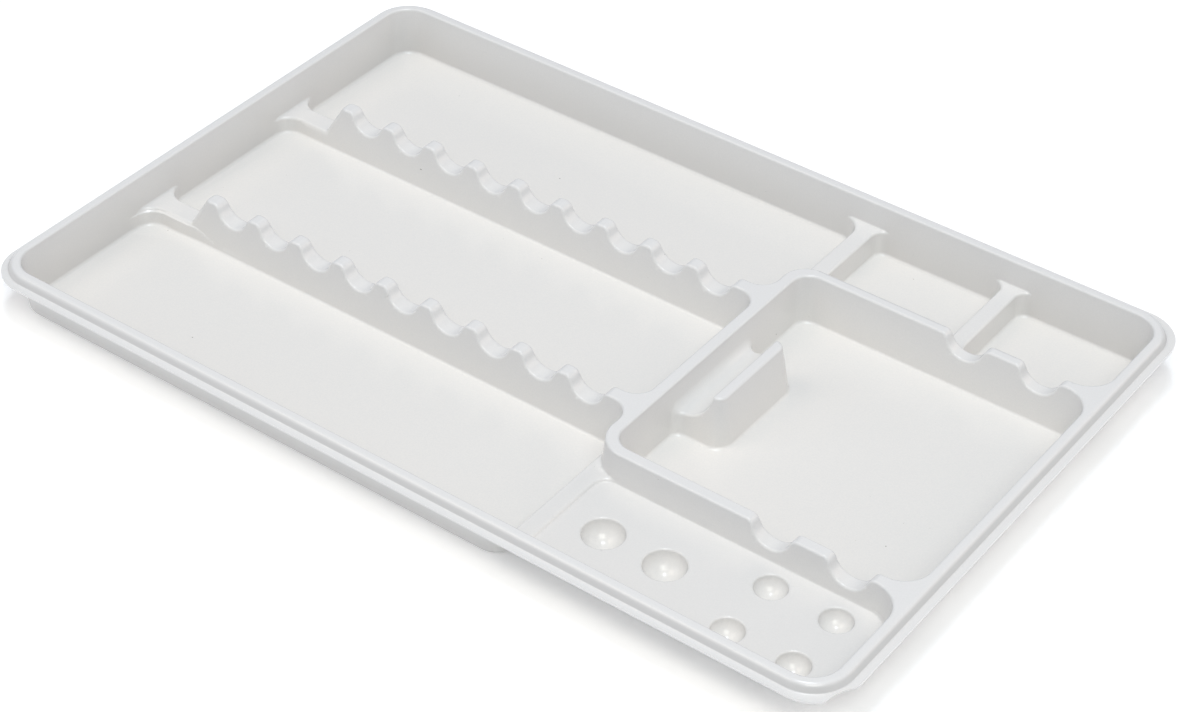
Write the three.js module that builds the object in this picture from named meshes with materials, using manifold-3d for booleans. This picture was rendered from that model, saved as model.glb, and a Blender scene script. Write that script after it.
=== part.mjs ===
// One thermoformed plastic tray: three long lanes with two notched rests, a square compartment with a
// raised frame and a small cradle, two small compartments and a shallow plate with six mixing wells.
// The tray is a single sheet. Its skin is what lies between a stack of drafted pockets and the same
// stack grown by the sheet's thickness, and it is divided along straight planes into its named zones.
import * as THREE from 'three';
import { mergeVertices } from 'three/addons/utils/BufferGeometryUtils.js';
import Module from 'manifold-3d';

const wasm = await Module();
wasm.setup();

// ---- driving dimensions, in millimetres -------------------------------------------------------------
// +X runs along the lanes, +Y from the front to the back, +Z up. The tray stands on z = 0.
// Plan sizes are measured at the top of the rim, and depths are measured down from it.
const LENGTH = 284;
const WIDTH = 187;
const HEIGHT = 16;
const SHEET = 0.6;
const FLOOR_DEPTH = HEIGHT - SHEET;
const DRAFT = Math.tan(THREE.MathUtils.degToRad(6));
const WALL_SPREAD = FLOOR_DEPTH * DRAFT;
const FLOOR_FILLET = 1;
const SHALLOW_FILLET = 0.7;
const TALL = 5;                          // how far cutting tools stand clear of the sheet

// rim: a flat land around the mouth, a short step down outside it and a narrow trimmed flange
const MOUTH = { left: -137.2, right: 136.1, front: -87.8, back: 88.1, radius: 8.5 };
const LAND = 3.2;
const STEP_DROP = 2.3;
const STEP_RUN = 0.4;
const FLANGE_RADIUS = 12.5;
const NICK = { x: 151.9, y: -90.1, radius: 13.8 };     // scallop trimmed out of the right front corner

// ridges between the lanes, each with a row of half-round rests across it
const RIDGE = { halfWidth: 2.2, front: -29.15, rear: 31.65, rootRadius: 6 };
const REST = { count: 9, first: -103.5, pitch: 16, radius: 5.5 };
const RIDGE_START = { top: -113.7, foot: -119.8, stepDepth: 10.3, stepRadius: 2, flareRadius: 7.5 };

// square compartment with its frame, and the cradle against the frame's left wall
const FRAME = { left: 39.5, front: -49.3, back: 50.5, frontRadius: 9, backRadius: 8 };
const SQUARE = { left: 43, front: -45.8, back: 47.4, radius: 6, rightRadius: 8.5 };
const FRAME_REST = { count: 2, first: 96.1, pitch: 23.2, radius: 5.9 };
const CRADLE = { right: 57.4, front: -14.8, back: 16.3, radius: 0.9 };
const TROUGH = { axis: 45.3, radius: 9 };

// two small compartments behind the frame, with low dividers
const DIVIDER_DEPTH = 7.7;
const SMALL_LEFT = { left: 43.4, right: 87.9 };
const SMALL_RIGHT = { left: 91.4, right: MOUTH.right };
const SMALL_RADIUS = 5;

// plate with the mixing wells, and the shallow recess that they sit in
const PLATE_DEPTH = 8.5;
const RECESS = { left: 43.2, depth: 9.3, radius: 5.5 };
const LARGE_WELL = { count: 2, radius: 5.9, first: 57.2, pitch: 19.4, row: -67.9 };
const SMALL_WELL = {
  columns: 2, rows: 2, radius: 4.55, first: 102.5, pitch: 19.6, rearRow: -58.15, rowPitch: 19.5,
};

// planes along which the sheet is divided into zones
const CUT = {
  left: -132, right: 131, front: -83.6, back: 84,
  laneEnd: 32.5, frameLeft: 47.5, frameFront: -52.2, squareFront: -41.5,
  squareBack: 43, frameBack: 54.5, cradleRight: 62, cradleFront: -19, cradleBack: 20.5,
  dividerLeft: 84, dividerRight: 95.5, ridgeHalf: 6,
};

const CORNER_STEPS = 4;
const FILLET_STEPS = 2;
const ROUND_STEPS = 24;
const POST_STEPS = 48;
const WELL_STEPS = 20;
const MERGE_DISTANCE = 1e-5;

// ---- solids -----------------------------------------------------------------------------------------
function solid(geometry) {
  geometry.deleteAttribute('normal');
  geometry.deleteAttribute('uv');
  const merged = mergeVertices(geometry, MERGE_DISTANCE);
  const vertProperties = Float32Array.from(merged.attributes.position.array);
  const triVerts = Uint32Array.from(merged.index.array);
  return new wasm.Manifold(new wasm.Mesh({ numProp: 3, vertProperties, triVerts }));
}

function box(x0, x1, y0, y1, z0 = -TALL, z1 = HEIGHT + TALL) {
  const geometry = new THREE.BoxGeometry(x1 - x0, y1 - y0, z1 - z0);
  geometry.translate((x0 + x1) / 2, (y0 + y1) / 2, (z0 + z1) / 2);
  return solid(geometry);
}

function rodAlongY(x, z, radius, y0, y1) {
  const geometry = new THREE.CylinderGeometry(radius, radius, y1 - y0, ROUND_STEPS);
  geometry.translate(x, (y0 + y1) / 2, z);
  return solid(geometry);
}

function postAlongZ(x, y, radius) {
  const geometry = new THREE.CylinderGeometry(radius, radius, HEIGHT + 2 * TALL, POST_STEPS);
  geometry.rotateX(Math.PI / 2);
  geometry.translate(x, y, HEIGHT / 2);
  return solid(geometry);
}

function ball(x, y, z, radius) {
  const geometry = new THREE.SphereGeometry(radius, WELL_STEPS, WELL_STEPS / 2);
  geometry.rotateX(Math.PI / 2);
  geometry.translate(x, y, z);
  return solid(geometry);
}

function prismAlongY(points, y0, y1) {
  const shape = new THREE.Shape(points.map(([x, z]) => new THREE.Vector2(x, z)));
  const geometry = new THREE.ExtrudeGeometry(shape, { depth: y1 - y0, bevelEnabled: false });
  geometry.rotateX(Math.PI / 2);
  geometry.translate(0, y1, 0);
  return solid(geometry);
}

// An outline is a list of square corners [x, y, radius], anticlockwise. Moving it inwards by inset
// keeps the centres of its corner arcs, so an outer corner gets tighter and an inner one wider.
function outlinePoints(corners, inset) {
  const points = [];
  corners.forEach(([x, y, radius], i) => {
    const before = corners[(i + corners.length - 1) % corners.length];
    const after = corners[(i + 1) % corners.length];
    const along = new THREE.Vector2(x - before[0], y - before[1]).normalize();
    const inward = new THREE.Vector2(-along.y, along.x);
    const turn = Math.sign(along.cross(new THREE.Vector2(after[0] - x, after[1] - y)));
    const centre = new THREE.Vector2(x, y).addScaledVector(along, -radius);
    centre.addScaledVector(inward, turn * radius);
    const arc = radius - turn * inset;
    for (let k = 0; k <= CORNER_STEPS; k++) {
      const angle = (k / CORNER_STEPS) * Math.PI / 2;
      const point = centre.clone().addScaledVector(inward, -turn * arc * Math.cos(angle));
      points.push(point.addScaledVector(along, arc * Math.sin(angle)));
    }
  });
  return points;
}

// closed solid through a stack of levels [inset, z] of one outline, from the lowest to the highest
function loft(corners, levels) {
  const rings = levels.map(([inset]) => outlinePoints(corners, inset));
  const count = rings[0].length;
  const positions = levels.flatMap(([, z], k) => rings[k].flatMap((p) => [p.x, p.y, z]));
  const faces = [];
  for (let k = 0; k + 1 < levels.length; k++) {
    for (let i = 0; i < count; i++) {
      const a = k * count + i;
      const b = k * count + (i + 1) % count;
      faces.push(a, b, b + count, a, b + count, a + count);
    }
  }
  const top = (levels.length - 1) * count;
  for (const [a, b, c] of THREE.ShapeUtils.triangulateShape(rings[0], [])) faces.push(a, c, b);
  for (const [a, b, c] of THREE.ShapeUtils.triangulateShape(rings[levels.length - 1], [])) {
    faces.push(top + a, top + b, top + c);
  }
  const geometry = new THREE.BufferGeometry();
  geometry.setAttribute('position', new THREE.Float32BufferAttribute(positions, 3));
  geometry.setIndex(faces);
  return solid(geometry);
}

function rectangle(left, right, front, back, [frontLeft, frontRight, backRight, backLeft]) {
  return [
    [left, front, frontLeft], [right, front, frontRight],
    [right, back, backRight], [left, back, backLeft],
  ];
}

function evenRectangle(left, right, front, back, radius) {
  return rectangle(left, right, front, back, [radius, radius, radius, radius]);
}

// space of a pocket with drafted walls and a rounded foot; grow = SHEET gives the sheet's far side
function pocket(corners, depth, fillet, grow) {
  const levels = [];
  const filletTop = depth - fillet;
  for (let k = FILLET_STEPS; k >= 0; k--) {
    const angle = (k / FILLET_STEPS) * Math.PI / 2;
    const inset = filletTop * DRAFT - grow + (fillet + grow) * (1 - Math.cos(angle));
    levels.push([inset, HEIGHT - filletTop - (fillet + grow) * Math.sin(angle)]);
  }
  levels.push([-TALL * DRAFT - grow, HEIGHT + TALL]);
  return loft(corners, levels);
}

// ---- the pockets of the tray ------------------------------------------------------------------------
const R = MOUTH.radius;
const frontRidge = { front: RIDGE.front - RIDGE.halfWidth, back: RIDGE.front + RIDGE.halfWidth };
const rearRidge = { front: RIDGE.rear - RIDGE.halfWidth, back: RIDGE.rear + RIDGE.halfWidth };
const flare = RIDGE_START.flareRadius;
const root = RIDGE.rootRadius;

const frontLane = rectangle(MOUTH.left, FRAME.left, MOUTH.front, frontRidge.front, [R, flare, root, flare]);
const middleLane = rectangle(MOUTH.left, FRAME.left, frontRidge.back, rearRidge.front,
  [flare, root, root, flare]);
const rearLane = rectangle(MOUTH.left, FRAME.left, rearRidge.back, MOUTH.back, [flare, root, flare, R]);
const square = rectangle(SQUARE.left, MOUTH.right, SQUARE.front, SQUARE.back,
  [SQUARE.radius, SQUARE.rightRadius, SQUARE.rightRadius, SQUARE.radius]);
const smallLeft = evenRectangle(SMALL_LEFT.left, SMALL_LEFT.right, FRAME.back, MOUTH.back, SMALL_RADIUS);
const smallRight = rectangle(SMALL_RIGHT.left, SMALL_RIGHT.right, FRAME.back, MOUTH.back,
  [SMALL_RADIUS, R, R, SMALL_RADIUS]);
const recess = rectangle(RECESS.left, MOUTH.right, MOUTH.front, FRAME.front,
  [RECESS.radius, R, FRAME.frontRadius, RECESS.radius]);
const leftBay = rectangle(MOUTH.left, RIDGE_START.foot - RIDGE_START.stepRadius, MOUTH.front, MOUTH.back,
  [R, RIDGE_START.stepRadius, RIDGE_START.stepRadius, R]);
const frontBay = [
  [MOUTH.left, MOUTH.front, R], [MOUTH.right, MOUTH.front, R],
  [MOUTH.right, FRAME.front, FRAME.frontRadius], [FRAME.left, FRAME.front, FRAME.frontRadius],
  [FRAME.left, frontRidge.front, root], [MOUTH.left, frontRidge.front, flare],
];
const backBay = [
  [MOUTH.left, rearRidge.back, flare], [FRAME.left, rearRidge.back, root],
  [FRAME.left, FRAME.back, FRAME.backRadius], [MOUTH.right, FRAME.back, SQUARE.rightRadius],
  [MOUTH.right, MOUTH.back, R], [MOUTH.left, MOUTH.back, R],
];

// ---- both faces of the sheet ------------------------------------------------------------------------
// half-round rests at the top of each wall, cut by rods that pass both of the wall's faces
function restRods(rest, walls, grow) {
  const rods = [];
  for (let k = 0; k < rest.count; k++) {
    for (const { front, back } of walls) {
      const x = rest.first + k * rest.pitch;
      rods.push(rodAlongY(x, HEIGHT, rest.radius + grow, front - WALL_SPREAD, back + WALL_SPREAD));
    }
  }
  return rods;
}

// the ridges end on the left in a lean down to a low step
function leanCuts(grow) {
  const slope = (RIDGE_START.top - RIDGE_START.foot) / RIDGE_START.stepDepth;
  const side = grow * Math.hypot(1, slope);
  const floor = RIDGE_START.stepDepth + grow;
  const edgeAt = (depth) => RIDGE_START.top + side - slope * depth;
  const outline = [
    [RIDGE_START.foot - 2 * TALL, HEIGHT - floor], [edgeAt(floor), HEIGHT - floor],
    [edgeAt(-TALL), HEIGHT + TALL], [RIDGE_START.foot - 2 * TALL, HEIGHT + TALL],
  ];
  return [frontRidge, rearRidge].map(({ front, back }) => (
    prismAlongY(outline, front - WALL_SPREAD, back + WALL_SPREAD)
  ));
}

function wells(grow) {
  const z = HEIGHT - RECESS.depth;
  const cups = [];
  for (let k = 0; k < LARGE_WELL.count; k++) {
    cups.push(ball(LARGE_WELL.first + k * LARGE_WELL.pitch, LARGE_WELL.row, z, LARGE_WELL.radius + grow));
  }
  for (let row = 0; row < SMALL_WELL.rows; row++) {
    for (let k = 0; k < SMALL_WELL.columns; k++) {
      const y = SMALL_WELL.rearRow - row * SMALL_WELL.rowPitch;
      cups.push(ball(SMALL_WELL.first + k * SMALL_WELL.pitch, y, z, SMALL_WELL.radius + grow));
    }
  }
  return cups;
}

// the cradle stands on the square floor: a fin beside a round trough that runs into the frame's wall
function cradleBlock(grow) {
  const corners = evenRectangle(FRAME.left, CRADLE.right, CRADLE.front, CRADLE.back, CRADLE.radius);
  const foot = HEIGHT + TALL;
  const block = loft(corners, [[grow - foot * DRAFT, HEIGHT - foot], [grow - grow * DRAFT, HEIGHT - grow]]);
  const front = CRADLE.front - TALL;
  const back = CRADLE.back + TALL;
  return block.subtract(rodAlongY(TROUGH.axis, HEIGHT, TROUGH.radius + grow, front, back));
}

// everything above one face of the sheet, inside the mouth: grow = 0 is the upper face
function space(grow) {
  const deep = (corners) => pocket(corners, FLOOR_DEPTH, FLOOR_FILLET, grow);
  const shallow = (corners, depth) => pocket(corners, depth, SHALLOW_FILLET, grow);
  const frameWalls = [
    { front: FRAME.front, back: SQUARE.front }, { front: SQUARE.back, back: FRAME.back },
  ];
  const tools = [
    deep(frontLane), deep(middleLane), deep(rearLane), deep(smallLeft), deep(smallRight),
    shallow(leftBay, RIDGE_START.stepDepth), shallow(backBay, DIVIDER_DEPTH),
    shallow(frontBay, PLATE_DEPTH), shallow(recess, RECESS.depth),
    deep(square).subtract(cradleBlock(grow)),
    ...restRods(REST, [frontRidge, rearRidge], grow), ...restRods(FRAME_REST, frameWalls, grow),
    ...leanCuts(grow), ...wells(grow),
  ];
  return tools.reduce((whole, tool) => whole.add(tool));
}

function rim() {
  const outer = evenRectangle(MOUTH.left - LAND, MOUTH.right + LAND, MOUTH.front - LAND, MOUTH.back + LAND,
    MOUTH.radius + LAND);
  const flangeFoot = STEP_DROP + SHEET;
  const spread = (depth) => -depth * STEP_RUN / STEP_DROP;
  const shell = loft(outer, [[spread(flangeFoot), HEIGHT - flangeFoot], [0, HEIGHT]]);
  const hollowFoot = flangeFoot + TALL;
  const hollow = loft(outer, [[spread(hollowFoot) + SHEET, HEIGHT - hollowFoot], [SHEET, HEIGHT - SHEET]]);
  const edge = evenRectangle(-LENGTH / 2, LENGTH / 2, -WIDTH / 2, WIDTH / 2, FLANGE_RADIUS);
  const flange = loft(edge, [[0, HEIGHT - flangeFoot], [0, HEIGHT - STEP_DROP]]);
  const nick = postAlongZ(NICK.x, NICK.y, NICK.radius);
  return shell.add(flange.subtract(nick)).subtract(hollow);
}

const clearance = box(-LENGTH, LENGTH, -WIDTH, WIDTH, HEIGHT, HEIGHT + 2 * TALL);
const sheet = rim().add(space(SHEET)).subtract(space(0)).subtract(clearance);

// ---- zones ------------------------------------------------------------------------------------------
const zones = [];
function zone(name, x0, x1, y0, y1, except) {
  zones.push({ name, x0, x1, y0, y1, except });
}

const endX = LENGTH;
const endY = WIDTH;
zone('rim_front', -endX, endX, -endY, CUT.front);
zone('rim_back', -endX, endX, CUT.back, endY);
zone('rim_left', -endX, CUT.left, CUT.front, CUT.back);
zone('rim_right', CUT.right, endX, CUT.front, CUT.back);

const half = CUT.ridgeHalf;
zone('front_lane_floor', CUT.left, CUT.laneEnd, CUT.front, RIDGE.front - half);
zone('middle_lane_floor', CUT.left, CUT.laneEnd, RIDGE.front + half, RIDGE.rear - half);
zone('rear_lane_floor', CUT.left, CUT.laneEnd, RIDGE.rear + half, CUT.back);
for (const [side, y] of [['front', RIDGE.front], ['rear', RIDGE.rear]]) {
  const start = REST.first - REST.pitch / 2;
  zone(`${side}_ridge_step`, CUT.left, start, y - half, y + half);
  for (let k = 0; k < REST.count; k++) {
    const x0 = start + k * REST.pitch;
    zone(`${side}_rest_${k + 1}`, x0, x0 + REST.pitch, y - half, y + half);
  }
}

const frameRestStart = FRAME_REST.first - FRAME_REST.pitch / 2;
zone('frame_left', CUT.laneEnd, CUT.frameLeft, CUT.frameFront, CUT.frameBack);
const frameSides = [['front', CUT.frameFront, CUT.squareFront], ['back', CUT.squareBack, CUT.frameBack]];
for (const [side, y0, y1] of frameSides) {
  zone(`frame_${side}`, CUT.frameLeft, frameRestStart, y0, y1);
  for (let k = 0; k < FRAME_REST.count; k++) {
    const x0 = frameRestStart + k * FRAME_REST.pitch;
    const x1 = k + 1 === FRAME_REST.count ? CUT.right : x0 + FRAME_REST.pitch;
    zone(`frame_${side}_rest_${k + 1}`, x0, x1, y0, y1);
  }
}
zone('cradle', CUT.frameLeft, CUT.cradleRight, CUT.cradleFront, CUT.cradleBack);
const cradleFloor = box(CUT.frameLeft - TALL, CUT.cradleRight, CUT.cradleFront, CUT.cradleBack);
zone('square_floor', CUT.frameLeft, CUT.right, CUT.squareFront, CUT.squareBack, cradleFloor);

zone('left_divider', CUT.laneEnd, CUT.frameLeft, CUT.frameBack, CUT.back);
zone('left_small_floor', CUT.frameLeft, CUT.dividerLeft, CUT.frameBack, CUT.back);
zone('right_divider', CUT.dividerLeft, CUT.dividerRight, CUT.frameBack, CUT.back);
zone('right_small_floor', CUT.dividerRight, CUT.right, CUT.frameBack, CUT.back);

const betweenLarge = LARGE_WELL.first + LARGE_WELL.pitch / 2;
const betweenSmall = SMALL_WELL.first + SMALL_WELL.pitch / 2;
const smallStart = SMALL_WELL.first - SMALL_WELL.pitch / 2;
zone('plate_edge', CUT.laneEnd, CUT.frameLeft, CUT.front, CUT.frameFront);
zone('large_well_1', CUT.frameLeft, betweenLarge, CUT.front, CUT.frameFront);
zone('large_well_2', betweenLarge, smallStart, CUT.front, CUT.frameFront);
zone('small_well_1', smallStart, betweenSmall, LARGE_WELL.row, CUT.frameFront);
zone('small_well_2', betweenSmall, CUT.right, LARGE_WELL.row, CUT.frameFront);
zone('small_well_3', smallStart, betweenSmall, CUT.front, LARGE_WELL.row);
zone('small_well_4', betweenSmall, CUT.right, CUT.front, LARGE_WELL.row);

// ---- scene graph ------------------------------------------------------------------------------------
function meshOf(name, piece) {
  const { numProp, vertProperties, triVerts } = piece.getMesh();
  const geometry = new THREE.BufferGeometry();
  geometry.setAttribute('position', new THREE.BufferAttribute(Float32Array.from(vertProperties), numProp));
  geometry.setIndex(new THREE.BufferAttribute(Uint32Array.from(triVerts), 1));
  geometry.computeVertexNormals();
  const material = new THREE.MeshStandardMaterial({ color: 0xe6e6e3, roughness: 0.45, metalness: 0 });
  const mesh = new THREE.Mesh(geometry, material);
  mesh.name = name;
  return mesh;
}

const tray = new THREE.Group();
tray.name = 'mixing_palette_tray';
for (const { name, x0, x1, y0, y1, except } of zones) {
  const cut = sheet.intersect(box(x0, x1, y0, y1));
  tray.add(meshOf(name, except ? cut.subtract(except) : cut));
}

export default tray;
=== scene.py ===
"""A white thermoformed tray with lanes, notched rests, compartments and mixing wells.

The tray is one sheet of plastic, so it is one skin. A field gives the distance from the space above the sheet
to its upper face, with every edge rounded as a forming mould rounds it. The skin is that face, meshed,
trimmed to the flange's outline and given the sheet's thickness. Sizes are in millimetres, and sizes in plan
are at the top of the rim.
"""

import math

import bpy
import numpy as np
import openvdb
from mathutils import Matrix, Vector


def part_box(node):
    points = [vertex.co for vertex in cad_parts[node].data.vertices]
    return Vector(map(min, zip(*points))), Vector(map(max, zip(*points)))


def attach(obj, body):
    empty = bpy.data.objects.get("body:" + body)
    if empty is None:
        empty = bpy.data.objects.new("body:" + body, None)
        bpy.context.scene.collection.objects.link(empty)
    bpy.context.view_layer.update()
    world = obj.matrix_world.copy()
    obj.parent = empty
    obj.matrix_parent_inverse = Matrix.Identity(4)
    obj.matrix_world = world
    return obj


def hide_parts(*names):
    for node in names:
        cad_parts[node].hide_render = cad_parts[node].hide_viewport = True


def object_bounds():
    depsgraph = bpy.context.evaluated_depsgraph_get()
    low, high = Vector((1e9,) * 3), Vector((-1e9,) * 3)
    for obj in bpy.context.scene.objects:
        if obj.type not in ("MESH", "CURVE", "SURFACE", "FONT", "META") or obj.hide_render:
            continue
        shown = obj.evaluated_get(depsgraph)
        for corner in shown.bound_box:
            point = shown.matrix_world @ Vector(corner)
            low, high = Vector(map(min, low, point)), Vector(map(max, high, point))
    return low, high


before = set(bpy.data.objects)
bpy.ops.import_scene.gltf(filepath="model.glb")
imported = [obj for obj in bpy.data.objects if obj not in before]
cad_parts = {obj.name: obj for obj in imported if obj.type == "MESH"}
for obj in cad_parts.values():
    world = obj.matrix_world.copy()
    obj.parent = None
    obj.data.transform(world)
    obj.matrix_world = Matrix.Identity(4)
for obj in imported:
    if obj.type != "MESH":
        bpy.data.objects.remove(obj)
cad_box = [list(corner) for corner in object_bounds()]

MM = 0.001

# ---- sizes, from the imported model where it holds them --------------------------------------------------
LOW, HIGH = np.array(cad_box) / MM
HEIGHT = HIGH[2]
HALF_LENGTH = (HIGH[0] - LOW[0]) / 2
HALF_WIDTH = (HIGH[1] - LOW[1]) / 2
SHEET = 0.6
FLOOR = HEIGHT - SHEET
DRAFT = math.radians(6)
CRADLE_DRAFT = math.radians(10)

MOUTH = dict(left=-137.2, right=136.1, front=-87.8, back=88.1, radius=8.5)
LAND = 2.7
STEP_DROP = 2.3
STEP_RUN = 1.2
FLANGE_RADIUS = 12.5
NICK = (151.9, -90.1, 13.8)


def centre(node, axis):
    """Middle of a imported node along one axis."""
    low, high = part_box(node)
    return (low[axis] + high[axis]) / 2 / MM


RIDGE_Y = (centre("front_rest_1", 1), centre("rear_rest_1", 1))
RIDGE_HALF = 2.2
ROOT_RADIUS = 6.0
FLARE_RADIUS = 7.5
REST_FIRST = centre("front_rest_1", 0)
REST_PITCH = centre("front_rest_2", 0) - REST_FIRST
REST_COUNT = 9
REST_RADIUS = 5.5
REST_REACH = 8.0
# the line on the front ridge, and how far its foot stands proud under the step and along the lane
CREASE = dict(
    start=-118.0,
    fall=10.0,
    low=2.1,
    rise=2.8,
    width=0.5,
    side=14.0,
    blend=8.0,
    proud=0.55,
    step_end=-126.0,
    fade=12.0,
    faint=0.15,
    reach=25.0,
)
LEAN_TOP = -113.7
LEAN_FOOT = -119.8
STEP_DEPTH = 10.3

FRAME = dict(left=39.5, front=-49.3, back=50.5, front_radius=9.0, back_radius=8.0)
SQUARE = dict(left=43.0, front=-45.8, back=47.4, radius=6.0, right_radius=8.5)
FRAME_REST_FIRST = centre("frame_front_rest_1", 0)
FRAME_REST_PITCH = 23.2
FRAME_REST_COUNT = 2
FRAME_REST_RADIUS = 5.9
FRAME_REST_REACH = 6.0
CRADLE = dict(right=57.4, front=-14.8, back=16.3, radius=2.6)
TROUGH_AXIS = 45.3
TROUGH_RADIUS = 9.0

DIVIDER_DEPTH = 7.7
SMALL = ((43.4, 87.9), (91.4, MOUTH["right"]))
SMALL_RADIUS = 5.0

PLATE_DEPTH = 8.5
RECESS_LEFT = 43.2
RECESS_DEPTH = 9.3
RECESS_RADIUS = 5.5
WELLS = [(57.2 + 19.4 * k, -67.9, 5.85) for k in range(2)]
WELLS += [(102.5 + 19.6 * k, -58.15 - 19.5 * row, 4.5) for row in range(2) for k in range(2)]

# radii of the rounded edges
LIP = 0.6
CREST = 1.9
LAND_EDGE = 0.9
STEP_FOOT = 0.25
TIP = 1.2
LEDGE = 0.7
WELL_LIP = 0.5
FOOT = 0.9
SHALLOW_FOOT = 0.4
CRADLE_BLEND = 3.2

# painted shade, a greyer colour chosen for its look: its spread at a wall and in a well, and its share in
# each place
WALL_REACH = 1.2
WELL_REACH = 2.5
WALL_SHADE = 0.5
WELL_SHADE = 0.1
OUTSIDE_SHADE = 0.8
PLATE_SHADE = 0.13

# the mesh: grid step, half width of the field, faces of the upper side, and how its points are settled
VOXEL = 0.35
BAND = 3 * VOXEL
TRIANGLES = 90000
SETTLING_STEPS = 2
LEAST_SLOPE = 0.2


# ---- plan outlines -------------------------------------------------------------------------------------
def rectangle(left, right, front, back, radii):
    """Corners with their radii, anticlockwise from the front left."""
    points = ((left, front), (right, front), (right, back), (left, back))
    return [(x, y, r) for (x, y), r in zip(points, radii)]


def outline_distance(corners, x, y):
    """Signed distance in plan, negative inside, to an anticlockwise outline with tangent corner arcs."""
    points = np.array([c[:2] for c in corners], float)
    count = len(corners)
    arcs = []
    for i, (_, _, radius) in enumerate(corners):
        into = points[i] - points[i - 1]
        out = points[(i + 1) % count] - points[i]
        into, out = into / np.linalg.norm(into), out / np.linalg.norm(out)
        turn = np.sign(into[0] * out[1] - into[1] * out[0])
        start, end = points[i] - radius * into, points[i] + radius * out
        arcs.append((start, end, start + radius * turn * np.array((-into[1], into[0])), radius, turn))
    best = np.full(np.broadcast(x, y).shape, 1e6, np.result_type(x, y))

    def keep(distance, valid):
        nearer = valid & (np.abs(distance) < np.abs(best))
        np.copyto(best, distance, where=nearer)

    for i, (start, end, middle, radius, turn) in enumerate(arcs):
        dx, dy = x - middle[0], y - middle[1]
        a, b = start - middle, end - middle
        keep(turn * (np.hypot(dx, dy) - radius), (dx * a[0] + dy * a[1] >= 0) & (dx * b[0] + dy * b[1] >= 0))
        after = arcs[(i + 1) % count][0]
        side = after - end
        length = np.linalg.norm(side)
        side = side / length
        dx, dy = x - end[0], y - end[1]
        along = dx * side[0] + dy * side[1]
        keep(dx * side[1] - dy * side[0], (along >= 0) & (along <= length))
    return best


M = MOUTH
FRONT_SIDE = (RIDGE_Y[0] - RIDGE_HALF, RIDGE_Y[0] + RIDGE_HALF)
REAR_SIDE = (RIDGE_Y[1] - RIDGE_HALF, RIDGE_Y[1] + RIDGE_HALF)
R, FLARE, ROOT = M["radius"], FLARE_RADIUS, ROOT_RADIUS
OUTLINES = dict(
    mouth=rectangle(M["left"], M["right"], M["front"], M["back"], (R, R, R, R)),
    land=rectangle(M["left"] - LAND, M["right"] + LAND, M["front"] - LAND, M["back"] + LAND, (R + LAND,) * 4),
    front_lane=rectangle(M["left"], FRAME["left"], M["front"], FRONT_SIDE[0], (R, FLARE, ROOT, FLARE)),
    middle_lane=rectangle(M["left"], FRAME["left"], FRONT_SIDE[1], REAR_SIDE[0], (FLARE, ROOT, ROOT, FLARE)),
    rear_lane=rectangle(M["left"], FRAME["left"], REAR_SIDE[1], M["back"], (FLARE, ROOT, FLARE, R)),
    small_left=rectangle(*SMALL[0], FRAME["back"], M["back"], (SMALL_RADIUS,) * 4),
    small_right=rectangle(*SMALL[1], FRAME["back"], M["back"], (SMALL_RADIUS, R, R, SMALL_RADIUS)),
    square=rectangle(
        SQUARE["left"],
        M["right"],
        SQUARE["front"],
        SQUARE["back"],
        (SQUARE["radius"], SQUARE["right_radius"], SQUARE["right_radius"], SQUARE["radius"]),
    ),
    recess=rectangle(
        RECESS_LEFT,
        M["right"],
        M["front"],
        FRAME["front"],
        (RECESS_RADIUS, R, FRAME["front_radius"], RECESS_RADIUS),
    ),
    cradle=rectangle(
        FRAME["left"],
        CRADLE["right"],
        CRADLE["front"],
        CRADLE["back"],
        (CRADLE["radius"],) * 4,
    ),
    front_bay=[
        (M["left"], M["front"], R),
        (M["right"], M["front"], R),
        (M["right"], FRAME["front"], FRAME["front_radius"]),
        (FRAME["left"], FRAME["front"], FRAME["front_radius"]),
        (FRAME["left"], FRONT_SIDE[0], ROOT),
        (M["left"], FRONT_SIDE[0], FLARE),
    ],
    back_bay=[
        (M["left"], REAR_SIDE[1], FLARE),
        (FRAME["left"], REAR_SIDE[1], ROOT),
        (FRAME["left"], FRAME["back"], FRAME["back_radius"]),
        (M["right"], FRAME["back"], SQUARE["right_radius"]),
        (M["right"], M["back"], R),
        (M["left"], M["back"], R),
    ],
)
FLANGE = rectangle(-HALF_LENGTH, HALF_LENGTH, -HALF_WIDTH, HALF_WIDTH, (FLANGE_RADIUS,) * 4)


def flange_distance(x, y):
    nick_x, nick_y, nick_radius = NICK
    return np.maximum(outline_distance(FLANGE, x, y), nick_radius - np.hypot(x - nick_x, y - nick_y))


# ---- the space above the sheet: negative in the air, positive in or under the plastic ------------------
def round_union(a, b, r):
    """Air in either, with a convex plastic edge of radius r where they meet."""
    return np.maximum(r, np.minimum(a, b)) - np.hypot(np.maximum(r - a, 0), np.maximum(r - b, 0))


def round_cut(a, b, r):
    """Air in both, with a hollow plastic corner of radius r where they meet."""
    return np.minimum(-r, np.maximum(a, b)) + np.hypot(np.maximum(r + a, 0), np.maximum(r + b, 0))


def nearest_axis(x, first, pitch, count):
    """Distance along x from the nearest of a row of axes."""
    return x - first - pitch * np.clip(np.rint((x - first) / pitch), 0, count - 1)


def smooth_step(t):
    t = np.clip(t, 0, 1)
    return t * t * (3 - 2 * t)


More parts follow.
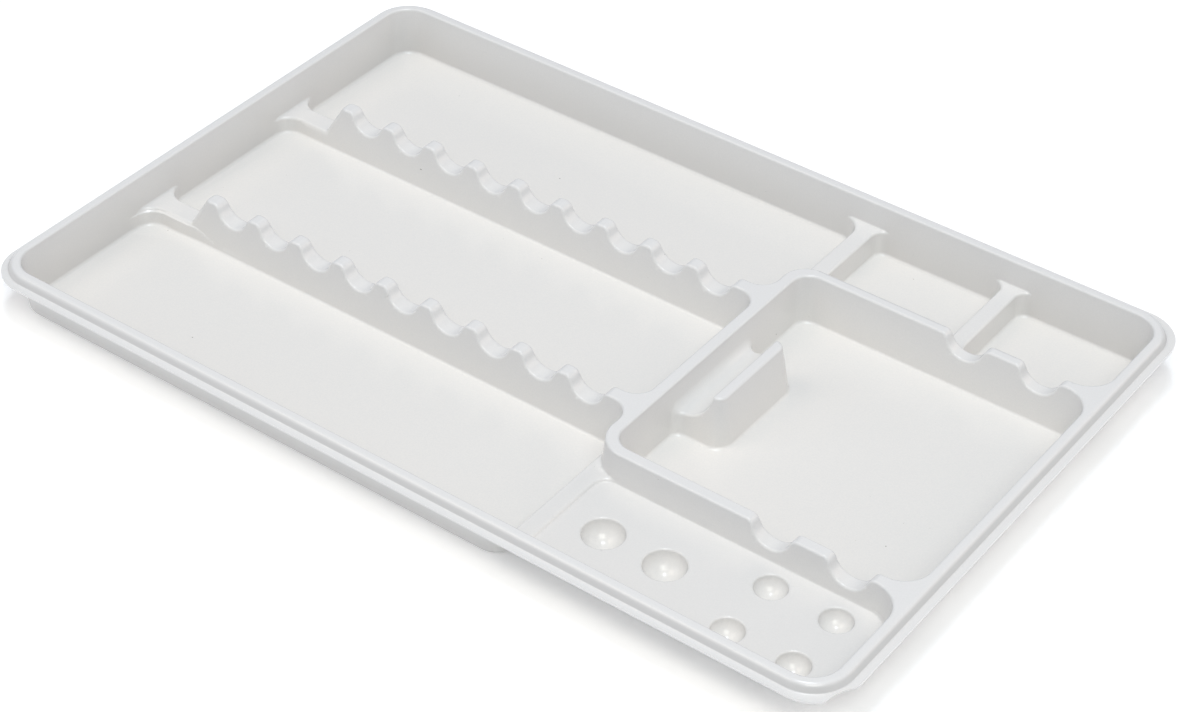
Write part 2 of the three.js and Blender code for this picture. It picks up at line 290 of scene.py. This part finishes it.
def crease(x, y, depth):
    """How far the front ridge's foot stands proud, under a line that runs down to the right."""
    line = HEIGHT - CREASE["low"] - CREASE["rise"] * (1 - smooth_step((x - CREASE["start"]) / CREASE["fall"]))
    proud = CREASE["proud"] * (1 - smooth_step((x - CREASE["step_end"]) / CREASE["fade"]))
    proud = proud + CREASE["faint"] * (1 - smooth_step((x - CREASE["start"]) / CREASE["reach"]))
    on_ridge = smooth_step((y - RIDGE_Y[0] + CREASE["side"]) / CREASE["blend"])
    return proud * on_ridge * smooth_step((depth - line) / CREASE["width"] + 0.5)


def space(x, y, depth, plan):
    """Signed distance to the upper face at a depth below the top of the rim, negative in the air."""

    def wall(name):
        return (plan[name] + depth * math.tan(DRAFT)) * math.cos(DRAFT)

    # walls that start at the top of the rim
    slope = (LEAN_TOP - LEAN_FOOT) / STEP_DEPTH
    lean = (x - LEAN_TOP + slope * depth) / math.hypot(1, slope)
    bays = np.minimum(np.minimum(wall("front_bay"), wall("back_bay")), wall("middle_lane"))
    mouth = wall("mouth")
    upper = np.maximum(mouth, round_union(bays, lean, TIP))

    # shallow floors: the ridges' steps, the dividers' tops and the plate with its recess and wells
    recess = round_cut(wall("recess"), depth - RECESS_DEPTH, SHALLOW_FOOT)
    plate = round_union(depth - PLATE_DEPTH, recess, LEDGE)
    front = y < (RIDGE_Y[0] + RIDGE_Y[1]) / 2
    level = np.where(x < REST_FIRST, depth - STEP_DEPTH, np.where(front, plate, depth - DIVIDER_DEPTH))
    shallow = round_cut(upper, level, SHALLOW_FOOT)
    wells = [np.sqrt((x - cx) ** 2 + (y - cy) ** 2 + (depth - RECESS_DEPTH) ** 2) - r for cx, cy, r in WELLS]
    shallow = round_union(shallow, np.minimum.reduce(wells), WELL_LIP)

    # deep pockets
    bottom = depth - FLOOR
    pockets = [wall(name) for name in ("middle_lane", "rear_lane", "small_left", "small_right")]
    pockets.append(wall("front_lane") + crease(x, y, depth))
    deep = np.minimum.reduce([round_cut(pocket, bottom, FOOT) for pocket in pockets])
    inside = np.maximum(upper, round_union(deep, shallow, LEDGE))

    # square compartment with its cradle
    block = (plan["cradle"] - depth * math.tan(CRADLE_DRAFT)) * math.cos(CRADLE_DRAFT)
    trough = np.hypot(x - TROUGH_AXIS, depth) - TROUGH_RADIUS
    around = round_cut(wall("square"), round_union(-block, trough, LIP), CRADLE_BLEND)
    square = round_cut(around, bottom, FOOT)
    inside = np.minimum(inside, square)

    # open air over the rim, with the half-round rests sunk into it
    ridge_y = np.minimum(np.abs(y - RIDGE_Y[0]), np.abs(y - RIDGE_Y[1]))
    rests = np.hypot(nearest_axis(x, REST_FIRST, REST_PITCH, REST_COUNT), depth) - REST_RADIUS
    rests = np.maximum(rests, ridge_y - REST_REACH)
    frame_y = [(FRAME["front"] + SQUARE["front"]) / 2, (FRAME["back"] + SQUARE["back"]) / 2]
    frame_y = np.minimum(np.abs(y - frame_y[0]), np.abs(y - frame_y[1]))
    frame_axis = nearest_axis(x, FRAME_REST_FIRST, FRAME_REST_PITCH, FRAME_REST_COUNT)
    frame_rests = np.hypot(frame_axis, depth) - FRAME_REST_RADIUS
    frame_rests = np.maximum(frame_rests, frame_y - FRAME_REST_REACH)
    above = round_union(depth + 0 * x, np.minimum(rests, frame_rests), CREST)
    whole = round_union(inside, above, LIP)

    # outside the rim, down to the flange
    spread = STEP_RUN / STEP_DROP
    outside = (spread * depth - plan["land"]) / math.hypot(1, spread)
    return round_union(whole, round_cut(outside, depth - STEP_DROP, STEP_FOOT), LAND_EDGE)


def plan_distances(x, y):
    return {name: outline_distance(corners, x, y) for name, corners in OUTLINES.items()}


def space_at(points):
    x, y, z = points.T
    return space(x, y, HEIGHT - z, plan_distances(x, y))


def gradient_at(points, step=0.02):
    columns = []
    for axis in range(3):
        ahead, behind = points.copy(), points.copy()
        ahead[:, axis] += step
        behind[:, axis] -= step
        columns.append((space_at(ahead) - space_at(behind)) / (2 * step))
    return np.stack(columns, 1)


def painted_shade_at(points):
    """How much painted shade greys the sheet, from 0 to 1: down the perimeter walls, in the wells and on the
    plate, and most on the rim's outer step.
    """
    x, y, z = points.T
    depth = HEIGHT - z
    plan = plan_distances(x, y)
    on_wall = 1 - np.clip(np.abs(plan["mouth"] + depth * math.tan(DRAFT)) / WALL_REACH, 0, 1)
    wall = on_wall * smooth_step(depth / FLOOR)
    above_foot = 1 - smooth_step((depth - STEP_DROP) / STEP_FOOT + 1.5)
    outside = smooth_step(plan["land"] / LAND_EDGE + 0.5) * above_foot
    wells = [np.hypot(x - cx, y - cy) - r for cx, cy, r in WELLS]
    well = smooth_step((depth - RECESS_DEPTH) / WELL_REACH) * (np.minimum.reduce(wells) < 0)
    plate = smooth_step(depth - PLATE_DEPTH + 1) * (x > FRAME["left"]) * (y < FRAME["front"])
    shares = (WALL_SHADE, OUTSIDE_SHADE, WELL_SHADE, PLATE_SHADE)
    return np.maximum.reduce([share * where for share, where in zip(shares, (wall, outside, well, plate))])


# ---- skin ----------------------------------------------------------------------------------------------
def upper_face():
    """Points and triangles of the upper face, a little past the flange's outline all round."""
    margin = 2 * VOXEL
    x = np.arange(-HALF_LENGTH - margin, HALF_LENGTH + margin + VOXEL, VOXEL, dtype=np.float32)
    y = np.arange(-HALF_WIDTH - margin, HALF_WIDTH + margin + VOXEL, VOXEL, dtype=np.float32)
    z = np.arange(HEIGHT - FLOOR - 3 * VOXEL, HEIGHT + 4 * VOXEL, VOXEL, dtype=np.float32)
    plan = {k: v.astype(np.float32) for k, v in plan_distances(x[:, None], y[None, :]).items()}
    values = np.empty((len(x), len(y), len(z)), np.float32)
    for k, height in enumerate(z):
        values[:, :, k] = -space(x[:, None], y[None, :], np.float32(HEIGHT - height), plan)
    np.clip(values, -BAND, BAND, out=values)
    grid = openvdb.FloatGrid(background=BAND)
    grid.copyFromArray(values)
    grid.gridClass = openvdb.GridClass.LEVEL_SET
    points, triangles, quads = grid.convertToPolygons(0.0, 0.01)
    points = points.astype(float) * VOXEL + np.array((x[0], y[0], z[0]), float)
    triangles = np.concatenate([triangles, quads[:, :3], quads[:, [0, 2, 3]]]).astype(int)
    # the grid's own underside closes the volume, and isn't part of the face
    triangles = triangles[points[triangles, 2].min(1) > HEIGHT - FLOOR - VOXEL]
    return drop_unused(points, triangles)


def drop_unused(points, triangles):
    """Leaves out the points that no triangle uses."""
    used, triangles = np.unique(triangles, return_inverse=True)
    return points[used], triangles.reshape(-1, 3)


def trim(points, triangles):
    """Cuts the triangles along the flange's outline."""
    s = flange_distance(points[:, 0], points[:, 1])
    s = np.where(np.abs(s) < 1e-6, -1e-6, s)
    out = s > 0
    n_out = out[triangles].sum(1)
    kept = [triangles[n_out == 0]]
    cut = triangles[(n_out == 1) | (n_out == 2)]
    edges = np.unique(np.sort(np.concatenate([cut[:, [0, 1]], cut[:, [1, 2]], cut[:, [2, 0]]]), 1), axis=0)
    edges = edges[out[edges[:, 0]] != out[edges[:, 1]]]
    t = s[edges[:, 0]] / (s[edges[:, 0]] - s[edges[:, 1]])
    new = points[edges[:, 0]] + t[:, None] * (points[edges[:, 1]] - points[edges[:, 0]])
    numbers = {(a, b): len(points) + i for i, (a, b) in enumerate(edges.tolist())}
    pieces = []
    for tri in cut.tolist():
        while out[tri[0]] == out[tri[1]] or out[tri[0]] == out[tri[2]]:
            tri = tri[1:] + tri[:1]
        a, b, c = tri  # a is alone on its side
        ab, ac = numbers[min(a, b), max(a, b)], numbers[min(a, c), max(a, c)]
        pieces += [(ab, b, c), (ab, c, ac)] if out[a] else [(a, ab, ac)]
    return drop_unused(np.concatenate([points, new]), np.concatenate([*kept, np.array(pieces)]))


def mesh_from(name, points, faces):
    mesh = bpy.data.meshes.new(name)
    mesh.vertices.add(len(points))
    mesh.vertices.foreach_set("co", np.asarray(points, np.float32).ravel())
    mesh.loops.add(faces.size)
    mesh.loops.foreach_set("vertex_index", faces.ravel().astype(np.int32))
    mesh.polygons.add(len(faces))
    mesh.polygons.foreach_set("loop_start", np.arange(0, faces.size, 3, dtype=np.int32))
    mesh.update(calc_edges=True)
    return mesh


def simplify(points, triangles, target):
    """Collapses edges down to about the target number of triangles."""
    if len(triangles) <= target:
        return points, triangles
    helper = bpy.data.objects.new("helper", mesh_from("helper", points, triangles))
    bpy.context.scene.collection.objects.link(helper)
    decimate = helper.modifiers.new("decimate", "DECIMATE")
    decimate.ratio = target / len(triangles)
    decimate.use_collapse_triangulate = True
    shown = helper.evaluated_get(bpy.context.evaluated_depsgraph_get()).to_mesh()
    points = np.empty(len(shown.vertices) * 3, np.float32)
    shown.vertices.foreach_get("co", points)
    triangles = np.empty(len(shown.loops), np.int32)
    shown.loops.foreach_get("vertex_index", triangles)
    bpy.data.objects.remove(helper)
    return points.reshape(-1, 3).astype(float), triangles.reshape(-1, 3).astype(int)


def boundary_edges(triangles):
    """The directed edges that only one triangle uses."""
    edges = np.concatenate([triangles[:, [0, 1]], triangles[:, [1, 2]], triangles[:, [2, 0]]])
    key = np.sort(edges, 1)
    _, first, counts = np.unique(key, axis=0, return_index=True, return_counts=True)
    return edges[first[counts == 1]]


def build_skin(name):
    """The whole sheet: upper face, lower face and the trimmed edge between them, with smooth normals."""
    points, triangles = upper_face()
    first, second, third = (points[triangles[:, i]] for i in range(3))
    if np.cross(second - first, third - first)[:, 2].sum() < 0:
        triangles = triangles[:, ::-1].copy()
    points, triangles = trim(points, triangles)
    points, triangles = simplify(points, triangles, TRIANGLES)
    for _ in range(SETTLING_STEPS):
        slope = gradient_at(points)
        points -= (space_at(points) / np.maximum((slope**2).sum(1), LEAST_SLOPE))[:, None] * slope
    edge = boundary_edges(triangles)
    rim = np.unique(edge)
    normals = -gradient_at(points)
    normals /= np.maximum(np.linalg.norm(normals, axis=1), 1e-9)[:, None]
    normals[rim] = (0, 0, 1)
    points[rim, 2] = HEIGHT - STEP_DROP

    count = len(points)
    below = points - SHEET * normals
    faces = np.concatenate([triangles, triangles[:, ::-1] + count])
    upper_side = np.stack([edge[:, 1], edge[:, 0], edge[:, 0] + count], 1)
    lower_side = np.stack([edge[:, 1], edge[:, 0] + count, edge[:, 1] + count], 1)
    side = np.concatenate([upper_side, lower_side])
    mesh = mesh_from(name, np.concatenate([points, below]) * MM, np.concatenate([faces, side]))
    along = points[edge[:, 1]] - points[edge[:, 0]]
    outward = np.stack([along[:, 1], -along[:, 0], 0 * along[:, 0]], 1)
    outward /= np.maximum(np.linalg.norm(outward, axis=1), 1e-9)[:, None]
    loop_normals = np.concatenate([
        normals[triangles].reshape(-1, 3),
        -normals[triangles[:, ::-1]].reshape(-1, 3),
        np.repeat(np.concatenate([outward, outward]), 3, axis=0),
    ])
    mesh.normals_split_custom_set(loop_normals.tolist())
    # the attribute holds painted shade, greying the walls, wells, plate and outer step
    painted_shade = np.tile(painted_shade_at(points), 2).astype(np.float32)
    mesh.attributes.new("painted_shade", "FLOAT", "POINT").data.foreach_set("value", painted_shade)
    skin = bpy.data.objects.new(name, mesh)
    bpy.context.scene.collection.objects.link(skin)
    return skin


skin = build_skin("tray_skin")
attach(skin, "root")
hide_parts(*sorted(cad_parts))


# ---- camera, floor, lights -----------------------------------------------------------------------------
# worked out once from the straight edges in the picture, then rounded
CAMERA_PLACE = (0.3607, -0.4993, 0.4901)
CAMERA_AXES = ((0.8039, 0.5944, 0.0189), (-0.3849, 0.4957, 0.7785), (0.4534, -0.6331, 0.6273))
CAMERA_LENS = 84.53
CAMERA_SENSOR = 36


def add_camera():
    camera = bpy.data.cameras.new("camera")
    camera.sensor_width = CAMERA_SENSOR
    camera.lens = CAMERA_LENS
    holder = bpy.data.objects.new("camera", camera)
    bpy.context.scene.collection.objects.link(holder)
    turn = Matrix(CAMERA_AXES).transposed()
    holder.matrix_world = Matrix.Translation(CAMERA_PLACE) @ turn.to_4x4()
    bpy.context.scene.camera = holder


add_camera()


def add_area(name, location, target, side, power, colour):
    light = bpy.data.lights.new(name, "AREA")
    light.shape = "RECTANGLE"
    light.size, light.size_y = side, side
    light.energy = power
    light.color = colour
    holder = bpy.data.objects.new(name, light)
    holder.location = location
    holder.rotation_euler = (Vector(target) - Vector(location)).to_track_quat("-Z", "Y").to_euler()
    bpy.context.scene.collection.objects.link(holder)


LIGHT_DISTANCE = 2.0
# azimuth from the back towards the right and elevation in degrees, side in metres, watts, colour
# powers and colours were fitted to tones in the picture, then rounded and partly changed
LIGHTS = {
    "overhead": (0, 90, 0.45, 10.8, (0.85, 0.92, 1.0)),
    "front_right_high": (135, 55, 1.0, 14.8, (1.0, 1.0, 0.94)),
    "front_left_high": (225, 55, 1.0, 7.6, (1.0, 0.86, 0.72)),
    "front_left_low": (225, 25, 1.0, 2.8, (0.85, 0.93, 1.0)),
    "back_right_low": (45, 25, 1.0, 4.4, (1.0, 0.83, 0.7)),
    "right_low": (90, 25, 1.0, 1.8, (1.0, 0.9, 0.75)),
}
for name, (azimuth, elevation, side, power, colour) in LIGHTS.items():
    azimuth, elevation = math.radians(azimuth), math.radians(elevation)
    level = LIGHT_DISTANCE * math.cos(elevation)
    place = (level * math.sin(azimuth), level * math.cos(azimuth), LIGHT_DISTANCE * math.sin(elevation))
    add_area(name, place, (0, 0, 0), side, power, colour)

WORLD_COLOUR = (0.78, 0.86, 1, 1)
WORLD_STRENGTH = 0.337
world = bpy.data.worlds.new("studio")
bpy.context.scene.world = world
world.use_nodes = True
background = world.node_tree.nodes["Background"]
background.inputs["Color"].default_value = WORLD_COLOUR
background.inputs["Strength"].default_value = WORLD_STRENGTH

# the floor lies a hair below the tray, in metres
FLOOR_SIZE = 6
FLOOR_GAP = 0.00005
FLOOR_COLOUR = (0.95, 0.95, 0.95, 1)
FLOOR_GLOW = 0.16
FLOOR_ROUGHNESS = 0.9
bpy.ops.mesh.primitive_plane_add(size=FLOOR_SIZE)
floor = bpy.context.object
floor.name = "floor"
floor.location.z = -FLOOR_GAP
floor_material = bpy.data.materials.new("floor")
floor_material.use_nodes = True
floor_shader = floor_material.node_tree.nodes["Principled BSDF"]
floor_shader.inputs["Base Color"].default_value = FLOOR_COLOUR
floor_shader.inputs["Emission Color"].default_value = (1, 1, 1, 1)
floor_shader.inputs["Emission Strength"].default_value = FLOOR_GLOW
floor_shader.inputs["Roughness"].default_value = FLOOR_ROUGHNESS
floor.data.materials.append(floor_material)
bpy.context.scene.view_settings.view_transform = "Standard"


# ---- plastic -------------------------------------------------------------------------------------------
# the upper face is painted a little warmer towards the floors, as painted warm bounce light, and greyer where
# the shade attribute is high, as painted shade
PLASTIC_HIGH_PAINTED_COOL = (0.79, 0.785, 0.78)
PLASTIC_LOW_PAINTED_WARM = (0.813, 0.796, 0.768)
PAINTED_SHADE_GREY = (0.565, 0.557, 0.548)
PLASTIC_CLOUD = (0.77, 0.765, 0.755)
PLASTIC_GRAIN = (0.74, 0.735, 0.725)
SPECK_COLOUR = (0.35, 0.33, 0.3)
CLOUD_RANGE = (0.2, 0.8)
CLOUD_SHARE = 0.06
GRAIN_RANGE = (0.35, 0.65)
GRAIN_SHARE = 0.35
SPECK_RANGE = (0.92, 0.95)
ROUGHNESS = (0.18, 0.22)
# noise scales are waves per metre, and heights are in metres
CLOUD_SCALE = 60.0
GRAIN_SCALE = 2200.0
SPECK_SCALE = 1000.0
GRAIN_STRENGTH = 0.25
GRAIN_HEIGHT = 0.00004
WAVE_SCALE = 45.0
WAVE_STRENGTH = 0.2
WAVE_HEIGHT = 0.0003


def satin_plastic():
    """White satin polystyrene with fine grain, slight waves, faint clouding and rare specks."""
    material = bpy.data.materials.new("white_plastic")
    material.use_nodes = True
    nodes, links = material.node_tree.nodes, material.node_tree.links
    shader = nodes["Principled BSDF"]
    place = nodes.new("ShaderNodeTexCoord").outputs["Object"]

    def noise(scale, detail=2.0):
        node = nodes.new("ShaderNodeTexNoise")
        node.inputs["Scale"].default_value = scale
        node.inputs["Detail"].default_value = detail
        links.new(place, node.inputs["Vector"])
        return node.outputs["Fac"]

    def ranged(value, low, high, start=0.0, end=1.0):
        node = nodes.new("ShaderNodeMapRange")
        links.new(value, node.inputs["Value"])
        for name, number in zip(("From Min", "From Max", "To Min", "To Max"), (low, high, start, end)):
            node.inputs[name].default_value = number
        return node.outputs["Result"]

    def mixed(factor, first, second):
        node = nodes.new("ShaderNodeMix")
        node.data_type = "RGBA"
        links.new(factor, node.inputs["Factor"])
        for name, colour in (("A", first), ("B", second)):
            socket = next(s for s in node.inputs if s.name == name and s.type == "RGBA")
            if isinstance(colour, tuple):
                socket.default_value = (*colour, 1)
            else:
                links.new(colour, socket)
        return next(s for s in node.outputs if s.type == "RGBA")

    def bumped(height, strength, distance, normal=None):
        node = nodes.new("ShaderNodeBump")
        node.inputs["Strength"].default_value = strength
        node.inputs["Distance"].default_value = distance
        links.new(height, node.inputs["Height"])
        if normal is not None:
            links.new(normal, node.inputs["Normal"])
        return node.outputs["Normal"]

    painted_shade = nodes.new("ShaderNodeAttribute")
    painted_shade.attribute_name = "painted_shade"
    split = nodes.new("ShaderNodeSeparateXYZ")
    links.new(place, split.inputs["Vector"])
    # painted light: warmer towards the floors and cooler towards the rim top, standing in for bounce light
    # and light from above
    colour = mixed(ranged(split.outputs["Z"], 0, HEIGHT * MM), PLASTIC_LOW_PAINTED_WARM, PLASTIC_HIGH_PAINTED_COOL)
    colour = mixed(ranged(noise(CLOUD_SCALE), *CLOUD_RANGE, 0, CLOUD_SHARE), colour, PLASTIC_CLOUD)
    grain = noise(GRAIN_SCALE)
    colour = mixed(ranged(grain, *GRAIN_RANGE, 0, GRAIN_SHARE), colour, PLASTIC_GRAIN)
    # painted shade: the colour goes greyer where the shade attribute is high
    colour = mixed(ranged(painted_shade.outputs["Fac"], 0, 1), colour, PAINTED_SHADE_GREY)
    colour = mixed(ranged(noise(SPECK_SCALE, 0), *SPECK_RANGE), colour, SPECK_COLOUR)
    links.new(colour, shader.inputs["Base Color"])

    links.new(ranged(noise(CLOUD_SCALE / 2), *CLOUD_RANGE, *ROUGHNESS), shader.inputs["Roughness"])
    waves = bumped(noise(WAVE_SCALE), WAVE_STRENGTH, WAVE_HEIGHT)
    links.new(bumped(grain, GRAIN_STRENGTH, GRAIN_HEIGHT, waves), shader.inputs["Normal"])
    return material


skin.data.materials.append(satin_plastic())
